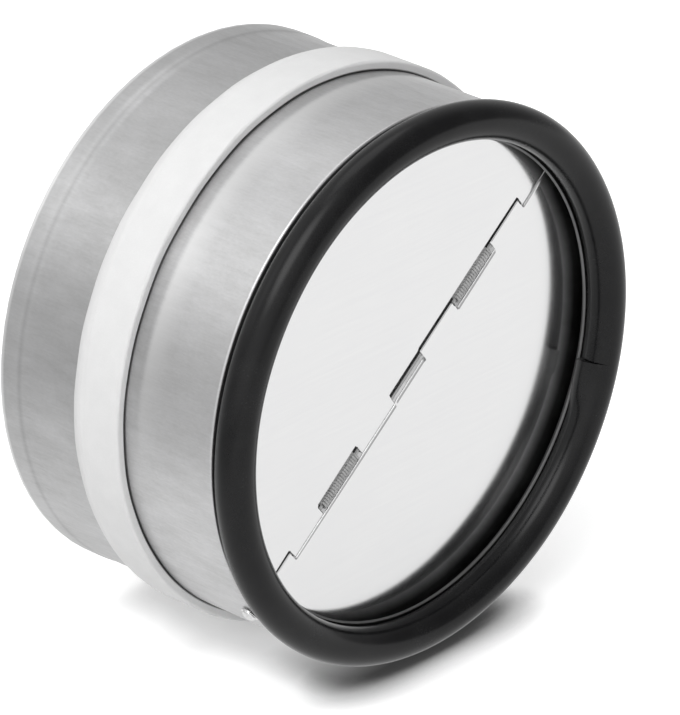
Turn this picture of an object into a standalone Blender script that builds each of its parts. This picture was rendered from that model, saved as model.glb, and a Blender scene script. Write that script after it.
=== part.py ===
"""Round spring-loaded backdraft damper for a 150 mm ventilation duct.

Two half-round sheet blades share one axle across a short metal sleeve.
Air from the front pushes them open towards the rear, and two torsion
springs bring them back against the sleeve's front shoulder.

Frame: metres, +Z up, the duct's axis along Y. The front, where the black
rubber ring is, faces -Y, and the blades open towards +Y. The origin is the
middle of the part on the duct's axis.
"""

import math

import bmesh
import bpy
from mathutils import Matrix

MM = 0.001

# Driving dimensions
SLEEVE_RADIUS = 75.0 * MM
SLEEVE_LENGTH = 76.0 * MM
SHEET = 0.7 * MM
SHOULDER_BEND = 1.2 * MM
HEM_LENGTH = 4.6 * MM
HEM_RISE = 0.35 * MM
HEM_ROUND = 0.3 * MM

RING_INSET = 3.0 * MM
GROOVE_EASE = 1.1 * MM
LIP_REACH = 3.0 * MM

CORD_RADIUS = 5.3 * MM
CORD_JOINT_ANGLE = math.radians(-14.0)
CORD_JOINT_GAP = 0.12 * MM

BAND_SETBACK = 30.7 * MM
BAND_WIDTH = 18.0 * MM
BAND_THICKNESS = 2.4 * MM
BAND_FRONT_ROUND = 1.3 * MM
BAND_REAR_SLOPE = 5.0 * MM
BAND_REAR_EDGE = 0.5 * MM

HINGE_ANGLE = math.radians(39.0)
ROD_RADIUS = 1.0 * MM
ROD_HOLE_CLEARANCE = 0.2 * MM
ROD_STANDOUT = 1.1 * MM

BLADE_SHEET = 0.4 * MM
BLADE_RIM_CLEARANCE = 1.1 * MM
BLADE_END_CLEARANCE = 0.8 * MM
KNUCKLE_CLEARANCE = 0.12 * MM
KNUCKLE_CURL = math.radians(285.0)
BLADE_EDGE_CLEARANCE = 0.2 * MM
TAB_CLEARANCE = 0.4 * MM
CENTRE_SLOT_END = 7.2 * MM
SPRING_SLOT_START = 23.6 * MM
SPRING_SLOT_END = 42.3 * MM
END_TAB_START = 56.5 * MM

WIRE_RADIUS = 0.4 * MM
SPRING_CLEARANCE = 0.12 * MM
SPRING_TURNS = 18
SPRING_PITCH = 0.9 * MM
SPRING_LEG = 17.0 * MM
SPRING_FOOT = 3.0 * MM
SPRING_FOOT_CLEARANCE = 0.15 * MM

CAP_RADIUS = 2.5 * MM
CAP_HEIGHT = 1.6 * MM
CAP_BRIM = 0.45 * MM
CAP_DOME_RADIUS = 2.0 * MM
CAP_BORE_CLEARANCE = 0.15 * MM
CAP_ROOF_CLEARANCE = 0.2 * MM

GAP = 0.3 * MM

ROUND_STEPS = 72
GROOVE_STEPS = 4
SLOPE_STEPS = 4
DOME_STEPS = 5
LEG_STEPS = 7
WIRE_BEVEL = 1
CORD_BEVEL = 6
ROD_STEPS = 24
CURL_STEPS = 12
COIL_STEPS = 10
BLADE_ARC_STEPS = 48

# Places worked out from the driving dimensions
OVERALL_LENGTH = 2 * CORD_RADIUS + GAP + SLEEVE_LENGTH
FRONT_Y = -OVERALL_LENGTH / 2
CORD_Y = FRONT_Y + CORD_RADIUS
CORD_RING_RADIUS = SLEEVE_RADIUS - RING_INSET
SHOULDER_Y = CORD_Y + CORD_RADIUS + GAP
GROOVE_RADIUS = CORD_RADIUS + GROOVE_EASE
GROOVE_Y = SHOULDER_Y - GROOVE_RADIUS
LIP_ANGLE = 180 - math.degrees(math.asin((GROOVE_RADIUS - LIP_REACH) / GROOVE_RADIUS))
REAR_Y = SHOULDER_Y + SLEEVE_LENGTH
KNUCKLE_RADIUS = ROD_RADIUS + KNUCKLE_CLEARANCE + BLADE_SHEET
AXLE_Y = SHOULDER_Y + SHEET + GAP + KNUCKLE_RADIUS
BLADE_EDGE = KNUCKLE_RADIUS + BLADE_EDGE_CLEARANCE
BLADE_RADIUS = SLEEVE_RADIUS - SHEET - BLADE_RIM_CLEARANCE
COIL_RADIUS = ROD_RADIUS + SPRING_CLEARANCE + WIRE_RADIUS
DRILL_LENGTH = 2.4 * SLEEVE_RADIUS

PARTS = "backdraft_damper"
CUTTERS = "cutters"


def clear_scene():
    """Remove every object of the opened file."""
    for old in list(bpy.data.objects):
        bpy.data.objects.remove(old, do_unlink=True)


def collection(name):
    """Make a collection under the scene."""
    made = bpy.data.collections.new(name)
    bpy.context.scene.collection.children.link(made)
    return made


def material(name, colour, roughness, metallic):
    """One Principled material with a plain colour."""
    made = bpy.data.materials.new(name)
    made.use_nodes = True
    shader = made.node_tree.nodes["Principled BSDF"]
    shader.inputs["Base Color"].default_value = (*colour, 1.0)
    shader.inputs["Roughness"].default_value = roughness
    shader.inputs["Metallic"].default_value = metallic
    made.diffuse_color = (*colour, 1.0)
    return made


def add_part(name, data, finish):
    """Link an object with its material into the parts' collection."""
    made = bpy.data.objects.new(name, data)
    bpy.data.collections[PARTS].objects.link(made)
    if not data.materials:
        data.materials.append(finish)
    return made


def arc(centre_r, centre_y, radius, start, end, steps):
    """Points on an arc in the plane of radius and length, angles in degrees."""
    points = []
    for step in range(steps + 1):
        angle = math.radians(start + (end - start) * step / steps)
        points.append((centre_r + radius * math.cos(angle), centre_y + radius * math.sin(angle)))
    return points


def turn(name, outline, closed, steps, finish):
    """Turn an outline of (radius, height) points about the object's Z axis."""
    count = len(outline)
    edges = [(i, i + 1) for i in range(count - 1)]
    if closed:
        edges.append((count - 1, 0))
    data = bpy.data.meshes.new(name)
    data.from_pydata([(radius, 0.0, height) for radius, height in outline], edges, [])
    made = add_part(name, data, finish)
    screw = made.modifiers.new("turn", "SCREW")
    screw.axis = "Z"
    screw.angle = 2 * math.pi
    screw.steps = steps
    screw.render_steps = steps
    screw.use_merge_vertices = True
    screw.merge_threshold = 0.00001
    screw.use_smooth_shade = True
    return made


def turn_along_duct(name, outline, finish):
    """Turn a closed outline of (radius, y) points about the duct's axis."""
    made = turn(name, [(radius, -y) for radius, y in outline], True, ROUND_STEPS, finish)
    made.rotation_euler = (math.pi / 2, 0.0, 0.0)
    return made


def mesh_from_curve(name, points, radius, bevel, finish):
    """Sweep a round section along the points and weld its end caps."""
    curve = bpy.data.curves.new(name, "CURVE")
    curve.dimensions = "3D"
    curve.bevel_depth = radius
    curve.bevel_resolution = bevel
    curve.use_fill_caps = True
    spline = curve.splines.new("POLY")
    spline.points.add(len(points) - 1)
    for point, place in zip(spline.points, points):
        point.co = (*place, 1.0)
    rough = bpy.data.objects.new(name + "_path", curve)
    bpy.data.collections[PARTS].objects.link(rough)
    bpy.context.view_layer.update()
    evaluated = rough.evaluated_get(bpy.context.evaluated_depsgraph_get())
    data = bpy.data.meshes.new_from_object(evaluated)
    data.name = name
    matrix = rough.matrix_world.copy()
    bpy.data.objects.remove(rough, do_unlink=True)
    body = bmesh.new()
    body.from_mesh(data)
    bmesh.ops.remove_doubles(body, verts=body.verts, dist=0.000001)
    bmesh.ops.recalc_face_normals(body, faces=body.faces)
    body.to_mesh(data)
    body.free()
    data.shade_smooth()
    data.set_sharp_from_angle(angle=math.radians(50))
    made = add_part(name, data, finish)
    made.matrix_world = matrix
    return made


def sleeve_outline():
    """Section of the sheet: the cord's groove, shoulder, wall and rear hem, as (radius, y)."""
    groove_centre = (CORD_RING_RADIUS, GROOVE_Y)
    wall_centre = (SLEEVE_RADIUS - SHOULDER_BEND, SHOULDER_Y + SHOULDER_BEND)
    hem_radius = SLEEVE_RADIUS + HEM_RISE
    hem_y = REAR_Y - HEM_LENGTH
    outer = arc(*groove_centre, GROOVE_RADIUS, LIP_ANGLE, 90, GROOVE_STEPS)
    outer += arc(*wall_centre, SHOULDER_BEND, -90, 0, 5)
    outer += [(SLEEVE_RADIUS, hem_y), (hem_radius, hem_y + HEM_RISE)]
    outer += arc(hem_radius - HEM_ROUND, REAR_Y - HEM_ROUND, HEM_ROUND, 0, 90, 2)
    inner = [(SLEEVE_RADIUS - SHEET, REAR_Y)]
    inner += arc(*wall_centre, SHOULDER_BEND - SHEET, 0, -90, 3)
    inner += arc(*groove_centre, GROOVE_RADIUS + SHEET, 90, LIP_ANGLE, GROOVE_STEPS)
    return outer + inner


def place_on_hinge(made, turned=0.0):
    """Put an object on the hinge line, its X axis along the axle."""
    made.location = (0.0, AXLE_Y, 0.0)
    made.rotation_euler = (0.0, turned - HINGE_ANGLE, 0.0)


def make_sleeve(finish):
    """Sleeve with a hole for the axle through each side of its wall."""
    sleeve = turn_along_duct("sleeve", sleeve_outline(), finish)
    hole_radius = ROD_RADIUS + ROD_HOLE_CLEARANCE
    bpy.ops.mesh.primitive_cylinder_add(vertices=ROD_STEPS, radius=hole_radius, depth=DRILL_LENGTH)
    drill = bpy.context.object
    drill.name = "axle_hole_cutter"
    for home in list(drill.users_collection):
        home.objects.unlink(drill)
    bpy.data.collections[CUTTERS].objects.link(drill)
    drill.location = (0.0, AXLE_Y, 0.0)
    drill.rotation_euler = (0.0, math.pi / 2 - HINGE_ANGLE, 0.0)
    drill.hide_render = True
    drill.display_type = "WIRE"
    cut = sleeve.modifiers.new("axle_holes", "BOOLEAN")
    cut.operation = "DIFFERENCE"
    cut.solver = "EXACT"
    cut.object = drill
    return sleeve


def make_rubber_ring(finish):
    """Round cord bent into a ring in the sleeve's front groove, its cut ends face to face."""
    half_gap = CORD_JOINT_GAP / 2 / CORD_RING_RADIUS
    span = 2 * math.pi - 2 * half_gap
    points = []
    for step in range(ROUND_STEPS + 1):
        angle = CORD_JOINT_ANGLE + half_gap + span * step / ROUND_STEPS
        points.append((CORD_RING_RADIUS * math.cos(angle), CORD_Y, CORD_RING_RADIUS * math.sin(angle)))
    return mesh_from_curve("rubber_ring", points, CORD_RADIUS, CORD_BEVEL, finish)


def make_foam_band(finish):
    """Soft strip round the sleeve: blunt round front edge, long slope at the rear."""
    inner = SLEEVE_RADIUS + GAP
    outer = inner + BAND_THICKNESS
    front = SHOULDER_Y + BAND_SETBACK
    rear = front + BAND_WIDTH
    slope_start = rear - BAND_REAR_SLOPE
    outline = [(inner, front)]
    outline += arc(outer - BAND_FRONT_ROUND, front + BAND_FRONT_ROUND, BAND_FRONT_ROUND, -90, 0, 4)
    for step in range(SLOPE_STEPS + 1):
        share = step / SLOPE_STEPS
        fall = (outer - inner - BAND_REAR_EDGE) * (1 - math.cos(math.pi * share / 2))
        outline.append((outer - fall, slope_start + BAND_REAR_SLOPE * share))
    outline.append((inner, rear))
    return turn_along_duct("foam_band", outline, finish)


def make_axle_rod(finish):
    """Plain round rod from wall to wall, its ends standing out of the sleeve."""
    half_length = SLEEVE_RADIUS + ROD_STANDOUT
    data = bpy.data.meshes.new("axle_rod")
    body = bmesh.new()
    bmesh.ops.create_cone(body, cap_ends=True, segments=ROD_STEPS, radius1=ROD_RADIUS,
                          radius2=ROD_RADIUS, depth=2 * half_length,
                          matrix=Matrix.Rotation(math.pi / 2, 4, "Y"))
    body.to_mesh(data)
    body.free()
    data.shade_smooth()
    data.set_sharp_from_angle(angle=math.radians(40))
    rod = add_part("axle_rod", data, finish)
    place_on_hinge(rod)
    return rod


def make_axle_cap(name, turned, finish):
    """Domed cap pressed over one end of the rod, outside the sleeve."""
    bore = ROD_RADIUS + CAP_BORE_CLEARANCE
    roof = ROD_STANDOUT - GAP + CAP_ROOF_CLEARANCE
    outline = [(0.0, CAP_HEIGHT)]
    for step in range(1, DOME_STEPS + 1):
        angle = math.pi / 2 * step / DOME_STEPS
        height = CAP_BRIM + (CAP_HEIGHT - CAP_BRIM) * math.cos(angle)
        outline.append((CAP_DOME_RADIUS * math.sin(angle), height))
    outline += [(CAP_RADIUS, CAP_BRIM), (CAP_RADIUS, 0.0), (bore, 0.0), (bore, roof), (0.0, roof)]
    cap = turn(name, outline, False, ROD_STEPS, finish)
    tilt = math.pi / 2 - HINGE_ANGLE + turned
    seat = SLEEVE_RADIUS + GAP
    cap.location = (seat * math.sin(tilt), AXLE_Y, seat * math.cos(tilt))
    cap.rotation_euler = (0.0, tilt, 0.0)
    return cap


def blade_tabs():
    """Stretches of the hinge line, along the blade's X axis, that its knuckles take."""
    end = BLADE_RADIUS - BLADE_END_CLEARANCE
    side = TAB_CLEARANCE / 2
    return [
        (-END_TAB_START + side, -SPRING_SLOT_END - side),
        (-SPRING_SLOT_START + side, -CENTRE_SLOT_END - side),
        (END_TAB_START + side, end),
    ]


def blade_mesh():
    """Half-round sheet whose tabs are rolled round the axle, as an open surface."""
    front = -KNUCKLE_RADIUS
    body = bmesh.new()
    half_chord = math.sqrt(BLADE_RADIUS ** 2 - BLADE_EDGE ** 2)
    outline = [(-half_chord, BLADE_EDGE)]
    for start, end in blade_tabs():
        outline += [(start, BLADE_EDGE), (start, 0.0), (end, 0.0), (end, BLADE_EDGE)]
    first = math.asin(BLADE_EDGE / BLADE_RADIUS)
    for step in range(BLADE_ARC_STEPS):
        angle = first + (math.pi - 2 * first) * step / BLADE_ARC_STEPS
        outline.append((BLADE_RADIUS * math.cos(angle), BLADE_RADIUS * math.sin(angle)))
    verts = [body.verts.new((x, front, z)) for x, z in outline]
    sheet = body.faces.new(verts)
    tab_edges = [edge for edge in sheet.edges if max(abs(vert.co.z) for vert in edge.verts) < BLADE_EDGE / 2]
    for edge in tab_edges:
        bmesh.ops.spin(body, geom=[edge, *edge.verts], cent=(0.0, 0.0, 0.0), axis=(1.0, 0.0, 0.0),
                       angle=KNUCKLE_CURL, steps=CURL_STEPS, use_duplicate=False)
    bmesh.ops.remove_doubles(body, verts=body.verts, dist=0.000001)
    bmesh.ops.recalc_face_normals(body, faces=body.faces)
    widest = max(body.faces, key=lambda face: face.calc_area())
    if widest.normal.y > 0:
        bmesh.ops.reverse_faces(body, faces=body.faces)
    data = bpy.data.meshes.new("blade")
    body.to_mesh(data)
    body.free()
    return data


def make_blade(name, data, turned, finish):
    """One blade on the axle: the surface above, thickened inwards."""
    blade = add_part(name, data, finish)
    wall = blade.modifiers.new("sheet", "SOLIDIFY")
    wall.thickness = BLADE_SHEET
    wall.offset = -1.0
    wall.use_even_offset = True
    place_on_hinge(blade, turned)
    return blade


def spring_leg(x, side):
    """Points of a leg from the coil's rear to its foot behind a blade."""
    foot_y = -KNUCKLE_RADIUS + BLADE_SHEET + SPRING_FOOT_CLEARANCE + WIRE_RADIUS
    reach = SPRING_LEG - SPRING_FOOT
    points = []
    for step in range(1, LEG_STEPS + 1):
        share = step / LEG_STEPS
        y = foot_y + (COIL_RADIUS - foot_y) * (1 + math.cos(math.pi * share)) / 2
        points.append((x, y, side * reach * share))
    points.append((x, foot_y, side * SPRING_LEG))
    return points


def make_spring(name, turned, finish):
    """Torsion spring round the axle in a slot, with a leg behind each blade."""
    start = (SPRING_SLOT_START + SPRING_SLOT_END - SPRING_TURNS * SPRING_PITCH) / 2
    points = list(reversed(spring_leg(start, 1)))
    for step in range(SPRING_TURNS * COIL_STEPS + 1):
        turns = step / COIL_STEPS
        angle = 2 * math.pi * turns
        points.append((start + SPRING_PITCH * turns, COIL_RADIUS * math.cos(angle), -COIL_RADIUS * math.sin(angle)))
    points += spring_leg(start + SPRING_TURNS * SPRING_PITCH, -1)
    spring = mesh_from_curve(name, points, WIRE_RADIUS, WIRE_BEVEL, finish)
    place_on_hinge(spring, turned)
    return spring


def main():
    """Build the damper."""
    clear_scene()
    collection(PARTS)
    collection(CUTTERS)
    sleeve_metal = material("galvanised_sleeve", (0.55, 0.55, 0.56), 0.38, 1.0)
    rubber = material("black_rubber", (0.018, 0.018, 0.019), 0.45, 0.0)
    foam = material("white_foam", (0.84, 0.84, 0.84), 0.8, 0.0)
    rod_metal = material("bright_rod", (0.5, 0.5, 0.51), 0.3, 1.0)
    cap_metal = material("plated_cap", (0.72, 0.72, 0.72), 0.2, 1.0)
    blade_metal = material("bright_blade", (0.85, 0.85, 0.86), 0.15, 1.0)
    spring_metal = material("spring_wire", (0.42, 0.42, 0.43), 0.3, 1.0)

    make_sleeve(sleeve_metal)
    make_rubber_ring(rubber)
    make_foam_band(foam)
    make_axle_rod(rod_metal)
    make_axle_cap("axle_cap_upper", 0.0, cap_metal)
    make_axle_cap("axle_cap_lower", math.pi, cap_metal)
    blade = blade_mesh()
    make_blade("upper_blade", blade, 0.0, blade_metal)
    make_blade("lower_blade", blade, math.pi, blade_metal)
    make_spring("upper_spring", 0.0, spring_metal)
    make_spring("lower_spring", math.pi, spring_metal)


main()
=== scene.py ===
# %% [markdown]
# # A spring-loaded backdraft damper
# A short galvanised sleeve for a 150 mm duct, a black rubber ring in its front groove, a white foam band
# round its middle, and two bright half-round blades on a slanted axle, which two springs keep shut. The
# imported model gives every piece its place, so this lesson only gives each piece a finer surface and a finish.

# %% Load the frame
import math

import bmesh
import bpy
import numpy as np
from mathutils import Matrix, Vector


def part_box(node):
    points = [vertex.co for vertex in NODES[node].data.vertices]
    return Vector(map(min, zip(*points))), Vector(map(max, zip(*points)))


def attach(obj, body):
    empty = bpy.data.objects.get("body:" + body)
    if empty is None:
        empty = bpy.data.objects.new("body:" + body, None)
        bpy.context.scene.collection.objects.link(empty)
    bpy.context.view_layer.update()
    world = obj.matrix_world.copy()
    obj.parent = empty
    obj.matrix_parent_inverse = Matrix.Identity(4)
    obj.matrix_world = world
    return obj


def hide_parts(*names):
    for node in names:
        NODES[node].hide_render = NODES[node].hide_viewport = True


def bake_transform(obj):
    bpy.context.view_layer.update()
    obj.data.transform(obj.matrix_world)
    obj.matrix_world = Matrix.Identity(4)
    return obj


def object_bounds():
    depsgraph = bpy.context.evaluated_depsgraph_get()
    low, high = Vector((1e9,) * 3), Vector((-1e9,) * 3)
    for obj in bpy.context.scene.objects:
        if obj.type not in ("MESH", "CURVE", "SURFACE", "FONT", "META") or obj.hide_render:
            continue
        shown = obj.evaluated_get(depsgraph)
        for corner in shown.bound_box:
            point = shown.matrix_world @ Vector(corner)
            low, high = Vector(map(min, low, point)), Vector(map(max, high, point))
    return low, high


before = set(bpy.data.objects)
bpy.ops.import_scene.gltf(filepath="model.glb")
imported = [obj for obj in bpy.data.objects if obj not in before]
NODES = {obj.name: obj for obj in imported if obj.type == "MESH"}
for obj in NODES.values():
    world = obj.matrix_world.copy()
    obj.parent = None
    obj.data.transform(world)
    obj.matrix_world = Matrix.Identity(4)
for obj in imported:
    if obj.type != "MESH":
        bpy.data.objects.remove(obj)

CAD_BOX = [list(corner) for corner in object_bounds()]
MM = 0.001
print("nodes:", sorted(NODES))
print("box in mm:", [[round(x / MM, 2) for x in corner] for corner in CAD_BOX])

# %% [markdown]
# The camera comes first. The photograph's circles were fitted with a pinhole camera: it stands to the left
# of the duct's axis, above it and far away, which is why the far rim looks almost as large as the near one.
# It looks at a point just behind the middle of the rubber ring, from a distance and two side steps along its
# own right and up directions.

# %% Camera
PHOTO_HEIGHT_PX = 715
FOCAL_PX = 6000.0
AZIMUTH = math.radians(-47.11)
ELEVATION = math.radians(25.98)
DISTANCE = 1564.3 * MM
STEP_RIGHT = -21.8 * MM
STEP_UP = 6.9 * MM
RING_TO_TARGET = 1.0 * MM
SENSOR_MM = 36.0
CLIP_END = 20.0

ring_low, ring_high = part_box("rubber_ring")
CORD_Y = (ring_high.y + ring_low.y) / 2
level = math.cos(ELEVATION)
back = Vector((math.sin(AZIMUTH) * level, -math.cos(AZIMUTH) * level, math.sin(ELEVATION)))
right = Vector((math.cos(AZIMUTH), math.sin(AZIMUTH), 0.0))
up = back.cross(right)
target = Vector((0.0, CORD_Y + RING_TO_TARGET, 0.0))

lens = bpy.data.cameras.new("photo_camera")
lens.sensor_width = SENSOR_MM
lens.lens = FOCAL_PX * SENSOR_MM / PHOTO_HEIGHT_PX
lens.clip_end = CLIP_END
camera = bpy.data.objects.new("photo_camera", lens)
bpy.context.scene.collection.objects.link(camera)
camera.location = target + right * STEP_RIGHT + up * STEP_UP + back * DISTANCE
camera.rotation_euler = back.to_track_quat("Z", "Y").to_euler()
bpy.context.scene.camera = camera
print("camera at", [round(x, 3) for x in camera.location], "lens", round(lens.lens, 1), "mm")

# %% [markdown]
# Shader maths is easier to read as Python. This class wraps one output socket of a node: arithmetic on it
# adds Math nodes, and one method adds any other node. Its settings are set first, then its sockets get
# their numbers or links. A Mix node keeps a set of sockets for each kind of data, so the colours among them
# are found by their places.

# %% A socket that can be reckoned with
MIX_COLOURS = (6, 7)
MIX_RESULT = 2


class Shade:
    """One output socket in a material. +, -, * and ** on it add Math nodes."""

    def __init__(self, tree, socket=None):
        self.tree = tree
        self.socket = socket

    def node(self, kind, settings=None, values=None, output=0):
        """Add a node of a kind, apply its settings, fill its sockets and return one output."""
        made = self.tree.nodes.new(kind)
        for name, value in (settings or {}).items():
            setattr(made, name, value)
        for name, value in (values or {}).items():
            socket = made.inputs[name]
            if isinstance(value, Shade):
                self.tree.links.new(value.socket, socket)
            else:
                socket.default_value = value
        return Shade(self.tree, made.outputs[output])

    def maths(self, operation, first, second):
        """A Math node on two values or sockets."""
        return self.node("ShaderNodeMath", {"operation": operation}, {0: first, 1: second})

    def __add__(self, other):
        return self.maths("ADD", self, other)

    __radd__ = __add__

    def __sub__(self, other):
        return self.maths("SUBTRACT", self, other)

    def __rsub__(self, other):
        return self.maths("SUBTRACT", other, self)

    def __mul__(self, other):
        return self.maths("MULTIPLY", self, other)

    __rmul__ = __mul__

    def __pow__(self, other):
        return self.maths("POWER", self, other)

    def clipped(self, low, high):
        """The value mapped from low..high to 0..1 and cut off outside."""
        values = {"Value": self, "From Min": low, "From Max": high}
        return self.node("ShaderNodeMapRange", {"clamp": True}, values)

    def mixed(self, dark, light):
        """A colour between two colours, by this value."""
        mix = self.node("ShaderNodeMix", {"data_type": "RGBA"}, {"Factor": self}, output=MIX_RESULT)
        inputs = mix.socket.node.inputs
        for socket, colour in zip((inputs[place] for place in MIX_COLOURS), (dark, light)):
            if isinstance(colour, Shade):
                self.tree.links.new(colour.socket, socket)
            else:
                socket.default_value = (*colour, 1.0)
        return mix


def finish(name, colour, roughness, metallic=0.0):
    """A material with a Principled shader: returns it, its shader node and a Shade to start from."""
    made = bpy.data.materials.new(name)
    made.use_nodes = True
    shader = made.node_tree.nodes["Principled BSDF"]
    shader.inputs["Base Color"].default_value = (*colour, 1.0)
    shader.inputs["Roughness"].default_value = roughness
    shader.inputs["Metallic"].default_value = metallic
    return made, shader, Shade(made.node_tree)


def feed(shader, name, value):
    """Link a Shade to a socket of the Principled shader."""
    value.tree.links.new(value.socket, shader.inputs[name])


def stretched(start, scale, turn=(0.0, 0.0, 0.0)):
    """Object coordinates in metres, scaled and turned, for a pattern on a piece."""
    place = start.node("ShaderNodeTexCoord", output="Object")
    return start.node("ShaderNodeMapping", None, {"Vector": place, "Rotation": turn, "Scale": scale})


def own_coordinate(start, which):
    """One of the piece's own coordinates in metres: 0 is x, 1 is y along the duct, 2 is z upwards."""
    place = start.node("ShaderNodeTexCoord", output="Object")
    return start.node("ShaderNodeSeparateXYZ", None, {"Vector": place}, output=which)


def from_axis(start):
    """Distance from the duct's axis: the length of the coordinates once y is flattened."""
    flat = stretched(start, (1.0, 0.0, 1.0))
    return start.node("ShaderNodeVectorMath", {"operation": "LENGTH"}, {0: flat}, output=1)


def towards(start, vector, direction):
    """How far a vector reaches along a direction: their dot product."""
    settings = {"operation": "DOT_PRODUCT"}
    return start.node("ShaderNodeVectorMath", settings, {0: vector, 1: direction}, output=1)


def noise(start, vector, scale, detail=3.0, roughness=0.5):
    """Noise from 0 to 1 at a number of waves per unit of the vector."""
    values = {"Vector": vector, "Scale": scale, "Detail": detail, "Roughness": roughness}
    return start.node("ShaderNodeTexNoise", None, values)


def bumped(start, height, distance, strength=1.0, after=None):
    """A Bump node for a height from 0 to 1 that stands a distance proud."""
    values = {"Height": height, "Distance": distance, "Strength": strength}
    if after is not None:
        values["Normal"] = after
    return start.node("ShaderNodeBump", None, values)


print("shader helpers ready")

# %% [markdown]
# The studio is a white floor, a soft surround and one lamp overhead. The floor keeps the damper's shadow,
# and where nothing shades it, it shows as pure white: part of its brightness is its own light, which only
# the camera, mirrors and glass see, so it lights nothing. Close under the rubber ring, an Ambient Occlusion
# node takes that light away again, so that the contact shadow is as deep as it is on a real table. In a
# mirror the floor is duller, and dullest far to the rear left, which tones the sleeve's underside.

# %% Floor
FLOOR_SIZE = 6.0
FLOOR_GAP = 0.1 * MM
FLOOR_COLOUR = 0.86
FLOOR_FAR_COLOUR = 0.62
FLOOR_GLOW = 0.50
MIRRORED_GLOW = 0.70
MIRRORED_COLOUR = 0.3
SHADOW_REACH = 13 * MM
SHADOW_SAMPLES = 16
SHADOW_OPENNESS = (0.45, 0.97)
SHADOW_DEPTH = 0.93
SHADOW_DEPTH_BEHIND = 0.3
SHADOW_FADE = (-38 * MM, -8 * MM)
DULL_SIDE = (-0.76, 0.65, 0.0)
DULL_REACH = (0.11, 0.30)


def make_floor():
    """A level square under the lowest point of the object, duller far to the rear left, outside the view."""
    height = CAD_BOX[0][2] - FLOOR_GAP
    half = FLOOR_SIZE / 2
    data = bpy.data.meshes.new("floor")
    corners = [(-half, -half, height), (half, -half, height), (half, half, height), (-half, half, height)]
    data.from_pydata(corners, [], [(0, 1, 2, 3)])
    floor = bpy.data.objects.new("floor", data)
    bpy.context.scene.collection.objects.link(floor)
    made, shader, start = finish("white_floor", (FLOOR_COLOUR,) * 3, 0.9)
    shader.inputs["Specular IOR Level"].default_value = 0.0
    shader.inputs["Emission Strength"].default_value = 1.0
    camera_ray = start.node("ShaderNodeLightPath", output="Is Camera Ray")
    glossy_ray = start.node("ShaderNodeLightPath", output="Is Glossy Ray")
    through_ray = start.node("ShaderNodeLightPath", output="Is Transmission Ray")
    nearby = {"Distance": SHADOW_REACH}
    openness = start.node("ShaderNodeAmbientOcclusion", {"samples": SHADOW_SAMPLES}, nearby, output="AO")
    behind = own_coordinate(start, 1).clipped(*SHADOW_FADE)
    depth = SHADOW_DEPTH - behind * (SHADOW_DEPTH - SHADOW_DEPTH_BEHIND)
    shaded = camera_ray * (1.0 - openness.clipped(*SHADOW_OPENNESS)) * depth
    mirrored = (glossy_ray + through_ray).clipped(0.0, 1.0)
    place = start.node("ShaderNodeTexCoord", output="Object")
    far = towards(start, place, DULL_SIDE).clipped(*DULL_REACH)
    tone = 1.0 - far * (1.0 - FLOOR_FAR_COLOUR)
    kept = (1.0 - shaded) * (1.0 - mirrored * (1.0 - MIRRORED_COLOUR))
    feed(shader, "Base Color", tone * kept * FLOOR_COLOUR)
    feed(shader, "Emission Color", camera_ray * (1.0 - shaded) * FLOOR_GLOW + mirrored * tone * MIRRORED_GLOW)
    data.materials.append(made)
    return floor


floor = make_floor()
print("floor at", round(CAD_BOX[0][2] / MM, 2), "mm")

# %% [markdown]
# Polished metal only looks like metal when what it mirrors is uneven. The surround is a plain grey with
# smooth patches in it: a soft box with a bright core high at the rear left, which the sleeve mirrors, one
# overhead to the left, which draws the pale streak on the rubber ring, a wide faint one at the front left,
# and a dark screen at the front right, which keeps the front of the ring black. The camera itself sees plain
# white there, as it does on the floor.

# %% Surround and lamp
SKY_LIGHT = 0.60
SKY_BOXES = [
    ((-0.43, 0.61, 0.67), 0.78, 0.99, 0.34),
    ((-0.53, 0.61, 0.58), 0.94, 0.995, 0.45),
    ((-0.52, -0.16, 0.84), 0.90, 0.98, 2.9),
    ((-0.84, -0.45, 0.30), 0.42, 0.98, 0.55),
    ((0.66, -0.61, 0.44), 0.50, 0.93, -0.36),
]
BOX_FALLOFF = 1.5
TOP_POWER = 3.0
TOP_SIZE = 1.0
TOP_PLACE = (0.3, 0.4, 1.6)


def make_world():
    """A grey surround with patches: a direction, the cosines where it starts and is full, and a strength."""
    world = bpy.data.worlds.new("studio")
    world.use_nodes = True
    start = Shade(world.node_tree)
    heading = start.node("ShaderNodeTexCoord", output="Generated")
    light = 0.0
    for direction, edge, core, strength in SKY_BOXES:
        near = towards(start, heading, direction)
        light = near.clipped(edge, core) ** BOX_FALLOFF * strength + light
    seen = start.node("ShaderNodeLightPath", output="Is Camera Ray")
    shown = (light + SKY_LIGHT) * (1.0 - seen) + seen
    background = world.node_tree.nodes["Background"]
    world.node_tree.links.new(shown.socket, background.inputs["Color"])
    return world


def soft_lamp(name, place, aim, size, power):
    """A square lamp at a place, turned to face a point."""
    lamp = bpy.data.lights.new(name, "AREA")
    lamp.shape = "SQUARE"
    lamp.size = size
    lamp.energy = power
    made = bpy.data.objects.new(name, lamp)
    bpy.context.scene.collection.objects.link(made)
    made.location = place
    made.rotation_euler = (Vector(place) - Vector(aim)).to_track_quat("Z", "Y").to_euler()
    return made


bpy.context.scene.world = make_world()
soft_lamp("top_lamp", TOP_PLACE, (0.0, 0.0, 0.0), TOP_SIZE, TOP_POWER)
bpy.context.scene.view_settings.view_transform = "Standard"
print("sky boxes:", len(SKY_BOXES))

# %% [markdown]
# Most pieces are surfaces that a formula gives on a grid of two parameters. The helper below turns such a
# grid into a mesh: each cell is a face between four neighbours, a closed direction joins its last row to
# its first, and the signed volume tells whether the faces point outwards.

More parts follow.
